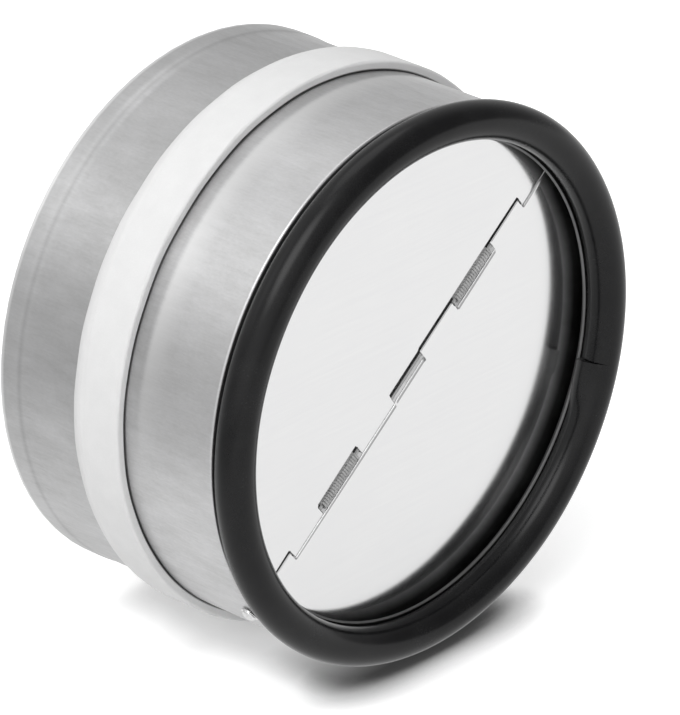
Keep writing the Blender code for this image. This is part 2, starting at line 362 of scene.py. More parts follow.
# %% Grids to meshes
def enclosed_volume(points, faces):
    """Signed volume under quads: the sum of each face's triangles times their height over the origin."""
    a, b, c, d = (points[faces[:, i]] for i in range(4))
    cross = np.cross(b - a, c - a) + np.cross(c - a, d - a)
    return float(np.einsum("ij,ij->", a, cross)) / 6


def grid_faces(rows, columns, wrap_rows, wrap_columns):
    """Vertex numbers of the cells between neighbours of a rows by columns grid."""
    last_row = rows if wrap_rows else rows - 1
    last_column = columns if wrap_columns else columns - 1
    i, j = np.meshgrid(np.arange(last_row), np.arange(last_column), indexing="ij")
    i2 = (i + 1) % rows
    j2 = (j + 1) % columns
    cells = [i * columns + j, i2 * columns + j, i2 * columns + j2, i * columns + j2]
    return np.stack(cells, axis=-1).reshape(-1, 4)


def mesh_of(name, points, faces):
    """A mesh from an array of points and an array of quads."""
    data = bpy.data.meshes.new(name)
    data.vertices.add(len(points))
    data.vertices.foreach_set("co", points.astype(np.float32).ravel())
    data.loops.add(faces.size)
    data.loops.foreach_set("vertex_index", faces.astype(np.int32).ravel())
    data.polygons.add(len(faces))
    data.polygons.foreach_set("loop_start", np.arange(0, faces.size, 4, dtype=np.int32))
    data.update(calc_edges=True)
    return data


def piece(name, points, material, wrap_rows=True, wrap_columns=True, sharp=None):
    """An object from a grid of points, its faces outwards, shaded smooth up to a sharp angle."""
    rows, columns = points.shape[:2]
    flat = points.reshape(-1, 3)
    faces = grid_faces(rows, columns, wrap_rows, wrap_columns)
    if enclosed_volume(flat, faces) < 0:
        faces = faces[:, ::-1]
    data = mesh_of(name, flat, faces)
    data.shade_smooth()
    if sharp is not None:
        data.set_sharp_from_angle(angle=math.radians(sharp))
    data.materials.append(material)
    made = bpy.data.objects.new(name, data)
    bpy.context.scene.collection.objects.link(made)
    return made


def turned(profile, steps, wobble=None):
    """A profile of (radius, y) points turned about the duct's axis, with wobble(angle, y) on its radius."""
    angle = np.linspace(0.0, 2 * math.pi, steps, endpoint=False)[:, None]
    radius = np.broadcast_to(profile[None, :, 0], (steps, len(profile)))
    y = np.broadcast_to(profile[None, :, 1], (steps, len(profile)))
    if wobble is not None:
        radius = radius + wobble(angle, y)
    return np.stack([radius * np.cos(angle), y, radius * np.sin(angle)], axis=-1)


def arc(centre, radius, start, end, steps):
    """Points on an arc about a (radius, y) centre, from one angle in degrees to another."""
    angle = np.radians(np.linspace(start, end, steps + 1))
    return np.stack([centre[0] + radius * np.cos(angle), centre[1] + radius * np.sin(angle)], axis=-1)


def run(first, last, spacing):
    """Points on a straight run, closer together at its ends, without the ends themselves."""
    first, last = np.asarray(first, float), np.asarray(last, float)
    count = max(3, int(np.linalg.norm(last - first) / spacing))
    share = (1 - np.cos(np.linspace(0.0, math.pi, count + 1)[1:-1])) / 2
    return first + (last - first) * share[:, None]


def ripple(angle, waves, seed):
    """A sum of sines round the circle, one for each number of waves, at fixed phases, up to about 1."""
    phases = np.random.default_rng(seed).uniform(0.0, 2 * math.pi, len(waves))
    total = sum(np.sin(count * angle + phase) for count, phase in zip(waves, phases))
    return total / math.sqrt(len(waves))


print("mesh helpers ready")

# %% [markdown]
# The sleeve is one sheet: a rolled groove at the front that hugs the rubber ring, a shoulder, the long wall
# and a rear rim that swells a little where it was rolled. Turning a closed section gives inside and outside
# in one surface. The groove and the bend are arcs, and the rim's swell is a smooth step. A constant that
# ends in _ROWS is the distance between the section's points.

# %% Sizes of the sleeve
sleeve_low, sleeve_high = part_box("sleeve")
SHEET = 0.7 * MM
SLEEVE_RADIUS = 75.0 * MM
RING_INSET = 3.0 * MM
GROOVE_RADIUS = 6.4 * MM
LIP_REACH = 3.0 * MM
LIP_ROUND = 0.12 * MM
LIP_ROUND_DEGREES = 1.5
SHOULDER_BEND = 0.8 * MM
HEM_LENGTH = 9.2 * MM
HEM_RISE = 0.35 * MM
HEM_EASE = 4.8 * MM
RIM_ROUND = 0.33 * MM
CLOSE_ROWS = 0.4 * MM
RIM_ROWS = 0.8 * MM
WALL_ROWS = 1.2 * MM
INSIDE_ROWS = 1.6 * MM
LIP_Y = sleeve_low.y
SHOULDER_Y = LIP_Y + LIP_REACH
REAR_Y = sleeve_high.y
GROOVE_CENTRE = (SLEEVE_RADIUS - RING_INSET, SHOULDER_Y - GROOVE_RADIUS)
LIP_ANGLE = 180 - math.degrees(math.asin((GROOVE_RADIUS - LIP_REACH) / GROOVE_RADIUS))
print("lip", round(LIP_Y / MM, 2), "shoulder", round(SHOULDER_Y / MM, 2), "rear", round(REAR_Y / MM, 2), "mm")

# %% Section of the sleeve
def lip_edge():
    """The sheet's cut edge: square to the groove's arc, its two corners slightly rounded."""
    heading = math.radians(LIP_ANGLE)
    outward = np.array([math.cos(heading), math.sin(heading)])
    edgeward = np.array([-math.sin(heading), math.cos(heading)])
    turn = np.radians(np.linspace(0.0, 90.0, 4))[:, None]
    corners = []
    for radius, way in ((GROOVE_RADIUS + SHEET - LIP_ROUND, 1), (GROOVE_RADIUS + LIP_ROUND, -1)):
        centre = np.array(GROOVE_CENTRE) + radius * outward - LIP_ROUND * edgeward
        swing = turn if way > 0 else turn[::-1]
        corners.append(centre + LIP_ROUND * (way * np.cos(swing) * outward + np.sin(swing) * edgeward))
    return np.concatenate(corners)


def sleeve_section():
    """Closed outline as (radius, y): the lip, round the groove, back along the wall, then the inside."""
    wall_centre = (SLEEVE_RADIUS - SHOULDER_BEND, SHOULDER_Y + SHOULDER_BEND)
    hem_radius = SLEEVE_RADIUS + HEM_RISE
    hem_y = REAR_Y - HEM_LENGTH
    inner = SLEEVE_RADIUS - SHEET
    lip_angle = LIP_ANGLE - LIP_ROUND_DEGREES
    groove = arc(GROOVE_CENTRE, GROOVE_RADIUS, lip_angle, 90, 24)
    parts = [lip_edge(), groove]
    wall_bend = arc(wall_centre, SHOULDER_BEND, -90, 0, 12)
    parts += [run(groove[-1], wall_bend[0], CLOSE_ROWS), wall_bend]
    hem = np.linspace(0.0, 1.0, 13)
    step = np.stack([SLEEVE_RADIUS + HEM_RISE * hem ** 2 * (3 - 2 * hem), hem_y + HEM_EASE * hem], axis=-1)
    parts += [run(wall_bend[-1], step[0], WALL_ROWS), step]
    rim = arc((hem_radius - RIM_ROUND, REAR_Y - RIM_ROUND), RIM_ROUND, 0, 90, 5)
    parts += [run(step[-1], rim[0], RIM_ROWS), rim]
    inner_rim = arc((inner + RIM_ROUND, REAR_Y - RIM_ROUND), RIM_ROUND, 90, 180, 5)
    inner_bend = arc(wall_centre, SHOULDER_BEND - SHEET, 0, -90, 8)
    parts += [inner_rim, run(inner_rim[-1], inner_bend[0], INSIDE_ROWS), inner_bend]
    inner_groove = arc(GROOVE_CENTRE, GROOVE_RADIUS + SHEET, 90, lip_angle, 24)
    parts += [run(inner_bend[-1], inner_groove[0], CLOSE_ROWS), inner_groove]
    return np.concatenate(parts)


section = sleeve_section()
print("section points:", len(section))

# %% [markdown]
# Bare galvanised sheet is a metal whose tone comes from what it mirrors. Three things keep it from looking
# like chrome: faint drawn streaks along the duct's axis, soft blotches in the zinc, and fine crinkles. They
# are noise read at the object's own coordinates, so that no seam shows. Inside the rolled groove the colour
# is painted nearly black and the sheet is rougher: painted shade for the dark recess behind the lip. Along
# the duct, light and shade are painted in strips: painted shade in front of the band, a painted contact
# shadow at its edge, a painted highlight beside the shaded strip, painted shade in the rim's step, painted
# light on the hem and a painted highlight at the rim's edge; the outside behind the band's front edge is a
# little darker. The painted strips by the band fade out low on the sleeve.

# %% Finish of the galvanised sheet
MASK_EDGE = 0.2 * MM
GROOVE_INSIDE = SLEEVE_RADIUS - 2 * SHEET
GROOVE_SHADE_END = SHOULDER_Y + 1.35 * MM
GROOVE_CORNER = SHOULDER_Y - 0.45 * MM
# Widths along the duct of the painted shade, highlight and contact shadow by the band, and of the painted
# light, shade and highlight at the rim.
BAND_SHADE_STRIP = 5.0 * MM
HIGHLIGHT_STRIP = 8.0 * MM
RIM_STRIP = 6.8 * MM
RIM_LINE = 1.1 * MM
RIM_EDGE = 1.4 * MM
CONTACT = 0.5 * MM
# Strengths of the painted light and shade: shade by the band, its contact shadow, a darker rear, the rim step's
# shade, the highlight beside the band and the hem's light.
BAND_SHADE_DEPTH = 0.17
CONTACT_SHADE_DEPTH = 0.3
REAR_DARKENING = 0.12
STEP_SHADE_DEPTH = 0.12
STRIP_HIGHLIGHT = 0.75
HEM_LIGHT_STRENGTH = 0.12
STRIPS_FADE = (-8 * MM, 30 * MM)
# How far the groove's painted shade takes its colour toward black, and how much further in its inner corner.
GROOVE_SHADE_DEPTH = 0.64
CORNER_SHADE_DEPTH = 0.34
FINE_STREAKS = 1700.0
BROAD_STREAKS = 300.0
BLOTCHES = 48.0
SPECKLES = 1500.0
BLOTCH_HEIGHT = 0.12 * MM
STREAK_HEIGHT = 0.014 * MM
BLACK = (0.0, 0.0, 0.0)
# Colour of the painted highlight along the rim's edge.
EDGE_HIGHLIGHT_COLOUR = (0.95, 0.95, 0.95)


def painted_groove_shade(start):
    """Painted shade: 0 on the wall, strong on the rolled groove and its cut edge, strongest in the groove's
    inner corner.
    """
    y = own_coordinate(start, 1)
    inside = 1.0 - from_axis(start).clipped(GROOVE_INSIDE - MASK_EDGE, GROOVE_INSIDE + MASK_EDGE)
    inside = inside * (1.0 - y.clipped(GROOVE_SHADE_END - MASK_EDGE, GROOVE_SHADE_END + MASK_EDGE))
    return inside * (y.clipped(LIP_Y, GROOVE_CORNER) * CORNER_SHADE_DEPTH + GROOVE_SHADE_DEPTH)


def between(y, rise, fall):
    """1 between two ramps along the duct and 0 outside them. A ramp is the two places it runs between."""
    return y.clipped(*rise) - y.clipped(*fall)


def painted_light_and_shade_strips(start):
    """Masks along the duct: the painted shade, with a darker rear, on the outside; the painted highlight and
    light on the outside; and the painted highlight at the rim's edge.
    """
    y = own_coordinate(start, 1)
    # The painted shade and highlight by the band fade out low on the sleeve.
    upper = own_coordinate(start, 2).clipped(*STRIPS_FADE)
    outside = from_axis(start).clipped(SLEEVE_RADIUS - SHEET * 0.8, SLEEVE_RADIUS - SHEET * 0.6)
    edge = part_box("foam_band")[0].y
    band_shade_start = edge - BAND_SHADE_STRIP
    under_band = (edge + CONTACT, edge + CONTACT * 2)
    # Painted shade on a strip just in front of the band's edge, where the band's shaded front face is mirrored.
    band_shade = between(y, (band_shade_start, edge - BAND_SHADE_STRIP * 0.75), (edge, edge + CONTACT))
    # Painted contact shadow on the sheet along the band's front edge.
    contact = between(y, (edge - CONTACT, edge), under_band)
    # Painted highlight on a strip beside the shaded one, on the upper side only.
    highlight_end = (edge - BAND_SHADE_STRIP * 1.15, edge - BAND_SHADE_STRIP * 0.9)
    pale = between(y, (band_shade_start - HIGHLIGHT_STRIP, edge - BAND_SHADE_STRIP * 1.3), highlight_end)
    step = REAR_Y - RIM_STRIP
    # Painted light: the hem behind the rim's step is lighter.
    rim = y.clipped(step, step + RIM_LINE)
    # Painted shade: a thin darker line in the rim's step.
    line = y.clipped(step - RIM_LINE, step) - rim
    # Painted highlight along the rim's edge.
    edge_highlight = y.clipped(REAR_Y - RIM_EDGE, REAR_Y - RIM_EDGE * 0.5)
    painted_shade_and_dark_rear = band_shade * upper * BAND_SHADE_DEPTH + contact * CONTACT_SHADE_DEPTH + line * STEP_SHADE_DEPTH
    # Behind the band's front edge the outside is also a little darker.
    painted_shade_and_dark_rear = (painted_shade_and_dark_rear + y.clipped(*under_band) * REAR_DARKENING) * outside
    return painted_shade_and_dark_rear, (pale * upper * STRIP_HIGHLIGHT + rim * HEM_LIGHT_STRENGTH) * outside, edge_highlight


def galvanised(name, tone):
    """Metal of a tone, with streaks along Y, blotches, crinkles, painted light and shade in strips, and a
    groove in painted shade.
    """
    made, shader, start = finish(name, (tone,) * 3, 0.4, 1.0)
    fine = noise(start, stretched(start, (1.0, 0.10, 1.0)), FINE_STREAKS, 3.0, 0.6)
    broad = noise(start, stretched(start, (1.0, 0.22, 1.0)), BROAD_STREAKS, 4.0, 0.62)
    blotch = noise(start, stretched(start, (1.0, 0.7, 1.0)), BLOTCHES, 5.0, 0.6)
    speckle = noise(start, stretched(start, (1.0, 0.5, 1.0)), SPECKLES, 2.0, 0.7)
    shade = (fine * 0.2 + broad * 0.34 + blotch * 0.42 + speckle * 0.2).clipped(0.42, 0.74)
    # Painted shade: this mask takes the groove's colour nearly to black and also makes it rougher.
    dull_and_shaded = painted_groove_shade(start) * (1.04 - blotch * 0.12)
    zinc = shade.mixed((tone * 0.86,) * 3, (tone * 1.12, tone * 1.12, tone * 1.13))
    # Painted light and shade in strips, then the groove's painted shade, go into the zinc's colour.
    painted_shade_and_dark_rear, painted_light, edge_highlight = painted_light_and_shade_strips(start)
    # The zinc with its painted highlights and painted light mixed in.
    zinc_with_painted_light = edge_highlight.mixed(painted_light.mixed(zinc, (tone * 1.25,) * 3), EDGE_HIGHLIGHT_COLOUR)
    feed(shader, "Base Color", dull_and_shaded.mixed(painted_shade_and_dark_rear.mixed(zinc_with_painted_light, BLACK), BLACK))
    feed(shader, "Roughness", shade * -0.10 + blotch * 0.12 + dull_and_shaded * 0.28 + 0.38)
    low = bumped(start, blotch, BLOTCH_HEIGHT, 0.6)
    streaks = fine * 0.3 + broad * 0.4 + speckle * 0.3
    feed(shader, "Normal", bumped(start, streaks, STREAK_HEIGHT, 0.7, low))
    return made


sleeve_metal = galvanised("sleeve_galvanised", 0.62)
print("made", sleeve_metal.name)

# %% [markdown]
# The real sheet isn't perfectly round. A few slow waves of a twentieth of a millimetre make its mirror
# images wander as they do on rolled sheet. Near the groove they fade out, because the blades fit there.

# %% The sleeve
WALL_WAVE = 0.05 * MM
WALL_WAVES = [3, 5, 8, 13]
RIM_WAVE = 0.06 * MM
RIM_WAVES = [47, 61, 78, 95]
RIM_WAVE_REACH = 7 * MM
SLEEVE_STEPS = 432


def sleeve_wobble(angle, y):
    """Slow waves on the wall plus short ones at the rolled rim, none at the groove."""
    along = np.clip((y - SHOULDER_Y) / (REAR_Y - SHOULDER_Y), 0.0, 1.0)
    rim = np.clip((y - (REAR_Y - RIM_WAVE_REACH)) / RIM_WAVE_REACH, 0.0, 1.0)
    slow = ripple(angle + 3.0 * along, WALL_WAVES, 4)
    short = ripple(angle, RIM_WAVES, 9)
    return -WALL_WAVE * (1 + slow) * np.sin(math.pi * along) ** 2 - RIM_WAVE * (1 + short) / 2 * rim ** 2


def drilled(body, radius, at_y, angle):
    """Cut a round hole through both walls, along a line through the duct's axis, and keep the cut mesh."""
    bpy.ops.mesh.primitive_cylinder_add(vertices=48, radius=radius, depth=SLEEVE_RADIUS * 2.4)
    drill = bpy.context.object
    drill.location = (0.0, at_y, 0.0)
    drill.rotation_euler = (0.0, math.pi / 2 - angle, 0.0)
    cut = body.modifiers.new("holes", "BOOLEAN")
    cut.operation = "DIFFERENCE"
    cut.solver = "EXACT"
    cut.object = drill
    bpy.context.view_layer.update()
    shaped = bpy.data.meshes.new_from_object(body.evaluated_get(bpy.context.evaluated_depsgraph_get()))
    body.modifiers.clear()
    body.data = shaped
    bpy.data.objects.remove(drill, do_unlink=True)
    return body


HINGE_ANGLE = math.radians(39.0)
ROD_RADIUS = 1.0 * MM
HOLE_RADIUS = 1.2 * MM
rod_low, rod_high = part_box("axle_rod")
AXLE_Y = (rod_low.y + rod_high.y) / 2
sleeve = piece("sleeve_sheet", turned(section, SLEEVE_STEPS, sleeve_wobble), sleeve_metal)
drilled(sleeve, HOLE_RADIUS, AXLE_Y, HINGE_ANGLE)
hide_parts("sleeve")
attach(sleeve, "housing")
print("sleeve faces:", len(sleeve.data.polygons))

# %% [markdown]
# The rubber ring is a length of round cord bent into the groove and joined end to end. A circle carried
# round with a slowly changing shape does it: below the joint the cut end swells inwards in front of the
# sheet's lip and hides it for a centimetre, as it does in the photograph. The two cut faces are pressed
# together outside and gape a little inside, where they show as a short fine line.

# %% Path of the rubber cord
CORD_RADIUS = (ring_high.y - ring_low.y) / 2
CORD_RING_RADIUS = ring_high.z - CORD_RADIUS
JOINT_ANGLE = math.radians(-14.0)
JOINT_GAP = 0.06 * MM
SWELL = 1.75 * MM
SWELL_LENGTH = 13.5 * MM
SWELL_SIDE = math.radians(160.0)
SWELL_WIDTH = math.radians(24.0)
END_ROUND = 0.22 * MM
UNEVENNESS = 0.004
CORD_ROOM = 0.03 * MM
GAPE_SIDE = math.radians(185.0)
GAPE_WIDTH = math.radians(40.0)
CORD_STEPS = 480
CORD_SIDES = 48


def cord_grid():
    """Rings of points round the cord's centre line; the last few at each end shrink to close it.

    Each point's angle runs evenly from one cut face to the other. The gap between the faces, like the ease
    of their edges, is a bell over the cord's inner side and nothing elsewhere.
    """
    half = JOINT_GAP / 2 / CORD_RING_RADIUS
    inset = np.array([0.0, 0.0, 0.15, 0.5, 1.0])
    shrink = np.array([0.0, 0.75, 0.9, 0.97, 1.0])
    middle = np.linspace(0.0, 1.0, CORD_STEPS)[1:-1]
    span = 2 * math.pi - 2 * half
    cap = END_ROUND / CORD_RING_RADIUS
    along = np.concatenate([inset * cap, cap + (span - 2 * cap) * middle, span - inset[::-1] * cap])
    size = np.concatenate([shrink, np.ones(len(middle)), shrink[::-1]])
    to_end = (span - along) * CORD_RING_RADIUS
    fade = np.exp(-(to_end / SWELL_LENGTH) ** 4)[:, None]
    thick = CORD_RADIUS * (1 + UNEVENNESS * ripple(JOINT_ANGLE + along, [4, 7, 11], 2)) - CORD_ROOM
    side = np.linspace(0.0, 2 * math.pi, CORD_SIDES, endpoint=False)[None, :]
    gape = np.exp(-((side - GAPE_SIDE) / GAPE_WIDTH) ** 4)
    gap = half * gape
    angle = JOINT_ANGLE + gap + along[:, None] / span * (2 * math.pi - 2 * gap)
    swell = SWELL * fade * np.exp(-((side - SWELL_SIDE) / SWELL_WIDTH) ** 2)
    eased = 1 - (1 - size[:, None]) * gape
    reach = (thick[:, None] + swell) * np.where(size[:, None] > 0, eased, 0.0)
    radius = CORD_RING_RADIUS + reach * np.cos(side)
    y = CORD_Y + reach * np.sin(side)
    return np.stack([radius * np.cos(angle), y, radius * np.sin(angle)], axis=-1)


print("cord radius", round(CORD_RADIUS / MM, 2), "ring radius", round(CORD_RING_RADIUS / MM, 2), "mm")

# %% [markdown]
# Black rubber is dark but not flat: it is satin, with a fine grain, faint lines along the cord from its
# extrusion, and a little dust that lightens it in places. The inner rear side, just in front of the blades,
# is mixed toward grey as painted light, for the light that the bright blades throw back on it.

# %% Finish of the rubber
# Strength of the painted light on the cord's side that faces the blades.
BLADE_SIDE_LIGHT = 0.28


def black_rubber():
    """Dark satin surface with fine grain and soft pale traces, and painted light on the side that faces the
    blades.
    """
    made, shader, start = finish("ring_black_rubber", (0.012, 0.012, 0.013), 0.36)
    shader.inputs["Specular IOR Level"].default_value = 0.26
    grain = noise(start, stretched(start, (1.0, 1.0, 1.0)), 1900.0, 3.0, 0.6)
    lines = noise(start, stretched(start, (0.25, 2.2, 0.25)), 700.0, 2.0)
    dust = noise(start, stretched(start, (1.0, 1.0, 1.0)), 70.0, 5.0, 0.65)
    pale = (dust * 0.7 + grain * 0.3).clipped(0.45, 0.8)
    # Painted light: the cord's inner rear side, which faces the blades, is mixed toward grey.
    inner, middle = CORD_RING_RADIUS - CORD_RADIUS * 0.95, CORD_RING_RADIUS - CORD_RADIUS * 0.3
    inward = 1.0 - from_axis(start).clipped(inner, middle)
    rearward = own_coordinate(start, 1).clipped(CORD_Y + CORD_RADIUS * 0.12, CORD_Y + CORD_RADIUS * 0.6)
    blade_side_mask = inward * rearward
    black = pale.mixed((0.006, 0.006, 0.0065), (0.015, 0.015, 0.0155))
    feed(shader, "Base Color", (blade_side_mask * BLADE_SIDE_LIGHT).mixed(black, (0.3, 0.3, 0.3)))
    feed(shader, "Roughness", pale * 0.10 + grain * 0.06 + 0.19)
    coarse = bumped(start, lines, 0.02 * MM, 0.4)
    feed(shader, "Normal", bumped(start, grain, 0.006 * MM, 0.4, coarse))
    return made


ring_rubber = black_rubber()
ring = piece("rubber_cord", cord_grid(), ring_rubber, wrap_rows=False, sharp=40)
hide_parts("rubber_ring")
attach(ring, "housing")
print("cord faces:", len(ring.data.polygons))

# %% [markdown]
# The foam band is a soft strip stuck round the wall. Its front edge is cut almost square, with small rounds
# at the top and at the foot, and its rear slopes off gently. A strip cut from foam is never quite straight,
# so its edges wander by a tenth of a millimetre, and on the hidden side its two ends meet in a shallow
# groove.

# %% The foam band
band_low, band_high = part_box("foam_band")
BAND_INNER = SLEEVE_RADIUS + 0.06 * MM
BAND_OUTER = band_high.x
BAND_FRONT = band_low.y
BAND_REAR = band_high.y
BAND_ROUND = 0.8 * MM
BAND_LOWER_ROUND = 0.5 * MM
BAND_SLOPE = 5.0 * MM
BAND_EDGE = 0.5 * MM
BAND_STEPS = 540
BAND_JOINT_ANGLE = math.radians(-62.0)
BAND_JOINT_HALF = 0.45 * MM
BAND_JOINT_DEPTH = 1.2 * MM


def band_section():
    """Closed outline as (radius, y), from the inner front corner round the top to the inner rear corner."""
    front = arc((BAND_OUTER - BAND_ROUND, BAND_FRONT + BAND_ROUND), BAND_ROUND, -90, 0, 12)
    share = np.linspace(0.0, 1.0, 13)
    fall = (BAND_OUTER - BAND_INNER - BAND_EDGE) * (1 - np.cos(math.pi * share / 2))
    slope = np.stack([BAND_OUTER - fall, BAND_REAR - BAND_SLOPE * (1 - share)], axis=-1)
    foot = (BAND_INNER + BAND_LOWER_ROUND, BAND_FRONT + BAND_LOWER_ROUND)
    inner_front = arc(foot, BAND_LOWER_ROUND, 180, 270, 6)
    inner_rear = np.array([[BAND_INNER, BAND_REAR - 0.05 * MM]])
    front_face = run(inner_front[-1], front[0], 0.25 * MM)
    top = run(front[-1], slope[0], 0.7 * MM)
    rear_face = run(slope[-1], inner_rear[0], 0.15 * MM)
    base = run(inner_rear[0], inner_front[0], 1.2 * MM)
    return np.concatenate([inner_front, front_face, front, top, slope, rear_face, inner_rear, base])


def band_grid():
    """The turned section, with wandering edges, a slightly uneven top and the groove of the joint."""
    grid = turned(band_section(), BAND_STEPS)
    angle = np.linspace(0.0, 2 * math.pi, BAND_STEPS, endpoint=False)[:, None]
    radius = np.hypot(grid[..., 0], grid[..., 2])
    y = grid[..., 1]
    height = (radius - BAND_INNER) / (BAND_OUTER - BAND_INNER)
    across = (y - BAND_FRONT) / (BAND_REAR - BAND_FRONT)
    front_wave = 0.10 * MM * (1 + ripple(angle, [5, 9, 14, 23], 21)) * (1 - across) ** 2
    rear_wave = 0.10 * MM * (1 + ripple(angle, [6, 11, 17, 29], 22)) * across ** 2
    away = (angle - BAND_JOINT_ANGLE + math.pi) % (2 * math.pi) - math.pi
    groove = BAND_JOINT_DEPTH * np.exp(-(away * SLEEVE_RADIUS / BAND_JOINT_HALF) ** 2)
    top_wave = 0.05 * MM * (1 + ripple(angle + 5 * across, [7, 12, 19, 31], 23))
    radius = radius - np.clip(height, 0.0, 1.0) * (top_wave + groove)
    return np.stack([radius * np.cos(angle), y + front_wave - rear_wave, radius * np.sin(angle)], axis=-1)


print("band width", round((BAND_REAR - BAND_FRONT) / MM, 1), "radius", round(BAND_OUTER / MM, 1), "mm")

# %% [markdown]
# White foam scatters light evenly, so its colour is nearly white and quite rough. The skin shows very fine
# cells and slight dents; both are bumps, because they are far smaller than the mesh. Next to the sheet the
# strip is painted dark grey: a painted contact shadow, which draws the dark line along its foot.

# %% Finish of the foam
# Width of the painted contact shadow along the foam's foot.
FOOT_SHADE_WIDTH = 0.55 * MM
FOAM_CELLS = 2400.0


def white_foam():
    """Almost white and rough, with fine cells, soft dents that are a touch greyer, and a painted contact shadow
    at its foot.
    """
    made, shader, start = finish("band_white_foam", (0.86, 0.86, 0.86), 0.75)
    values = {"Vector": stretched(start, (1.0, 1.0, 1.0)), "Scale": FOAM_CELLS}
    cells = start.node("ShaderNodeTexVoronoi", {"feature": "F1"}, values)
    dents = noise(start, stretched(start, (1.0, 1.0, 1.0)), 160.0, 3.0, 0.55)
    # The colour is a touch greyer where the dents and cells sink.
    grey_in_dents = (dents * 0.75 + cells * 0.25).clipped(0.2, 0.7)
    # Painted contact shadow: a thin dark grey strip along the foot, next to the sheet.
    above_foot_shade = from_axis(start).clipped(BAND_INNER + FOOT_SHADE_WIDTH * 0.5, BAND_INNER + FOOT_SHADE_WIDTH)
    white = grey_in_dents.mixed((0.75, 0.75, 0.75), (0.80, 0.80, 0.80))
    feed(shader, "Base Color", above_foot_shade.mixed((0.26, 0.26, 0.26), white))
    feed(shader, "Roughness", cells * 0.15 + 0.68)
    soft = bumped(start, dents, 0.12 * MM, 0.35)
    feed(shader, "Normal", bumped(start, cells, 0.03 * MM, 0.35, soft))
    return made


band_foam = white_foam()
band = piece("foam_strip", band_grid(), band_foam)
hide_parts("foam_band")
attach(band, "housing")
print("band faces:", len(band.data.polygons))

# %% [markdown]
# Each blade is half a disc of thin aluminium whose three edge tabs are rolled round the axle. The sheet is
# a grid between the straight edge and the round one. A tab is a grid too: flat to the far side of the axle,
# a tight fold backwards, then round the rod. Solidify gives both the wall. All of it is worked out in the
# hinge's own directions: x along the axle, z away from it, y along the duct. The other blade is the same one
# after half a turn.

# %% Sizes of a blade
blade_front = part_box("upper_blade")[0].y
BLADE_SHEET = 0.4 * MM
ROD_GAP = 0.12 * MM
KNUCKLE_RADIUS = ROD_RADIUS + ROD_GAP + BLADE_SHEET
KNUCKLE_CURL = math.radians(285.0)
BLADE_EDGE = KNUCKLE_RADIUS + 0.2 * MM
MIDDLE_EDGE = 1.3 * MM
SLOT_STEP = 0.2 * MM
FOLD_RADIUS = 0.5 * MM
BLADE_GAP = 1.1 * MM
BLADE_RADIUS = SLEEVE_RADIUS - SHEET - BLADE_GAP
CORNER_CUT = 0.02 * MM
WELD_REACH = 0.002 * MM
TABS = [(-56.3 * MM, -42.5 * MM), (-23.4 * MM, -7.4 * MM), (56.7 * MM, 72.4 * MM)]
MIDDLE_SLOT = -TABS[1][1]
SAME = 1e-9
ALONG = np.array([math.cos(HINGE_ANGLE), 0.0, math.sin(HINGE_ANGLE)])
OUTWARD = np.array([-math.sin(HINGE_ANGLE), 0.0, math.cos(HINGE_ANGLE)])
print("blade front at", round(blade_front / MM, 2), "axle at", round(AXLE_Y / MM, 2), "mm")


def on_hinge(points, side=1):
    """Points given as (along the axle, along the duct, away from the axle) moved to the hinge line."""
    x, y, z = points[..., 0], points[..., 1], points[..., 2]
    place = side * x[..., None] * ALONG + side * z[..., None] * OUTWARD
    place[..., 1] += AXLE_Y + y
    return place


# %% A blade's front surface
def knuckle_profile():
    """A tab's outer face as (y, z): flat past the axle, a tight fold back, then a circle round the rod."""
    corner = FOLD_RADIUS - KNUCKLE_RADIUS
    fold = np.linspace(0.0, math.pi / 2, 9)
    front = np.stack([corner - FOLD_RADIUS * np.cos(fold), corner - FOLD_RADIUS * np.sin(fold)], axis=-1)
    curl = np.linspace(math.pi / 2, KNUCKLE_CURL, 34)
    back = np.stack([-KNUCKLE_RADIUS * np.cos(curl), -KNUCKLE_RADIUS * np.sin(curl)], axis=-1)
    return np.concatenate([[(-KNUCKLE_RADIUS, BLADE_EDGE)], [(-KNUCKLE_RADIUS, 0.0)], front, back])


def blade_surfaces():
    """Grids of one blade's front side: the half disc first, then its rolled tabs.

    In the middle slot, where only the bare rod shows, the straight edge stands closer to the rod.
    """
    half_chord = math.sqrt(BLADE_RADIUS ** 2 - BLADE_EDGE ** 2) - CORNER_CUT
    lean = np.sin(np.linspace(-math.pi / 2, math.pi / 2, 181)) * half_chord
    step = MIDDLE_SLOT - SLOT_STEP
    x = np.unique(np.concatenate([lean, np.array(TABS).ravel(), [MIDDLE_SLOT, step, -step]]))
    edge = np.where(abs(x) < step + SAME, MIDDLE_EDGE, BLADE_EDGE)[:, None]
    share = np.linspace(0.0, 1.0, 41)[None, :]
    top = np.sqrt(BLADE_RADIUS ** 2 - x ** 2)[:, None]
    z = edge + (top - edge) * share
    flat = np.stack([np.broadcast_to(x[:, None], z.shape), np.full(z.shape, -KNUCKLE_RADIUS), z], axis=-1)
    grids = [flat]
    rolled = knuckle_profile()
    for start, end in TABS:
        xs = x[(x >= start - SAME) & (x <= end + SAME)][:, None]
        ys = np.broadcast_to(rolled[None, :, 0], (len(xs), len(rolled)))
        zs = np.broadcast_to(rolled[None, :, 1], ys.shape)
        grids.append(np.stack([np.broadcast_to(xs, ys.shape), ys, zs], axis=-1))
    return grids


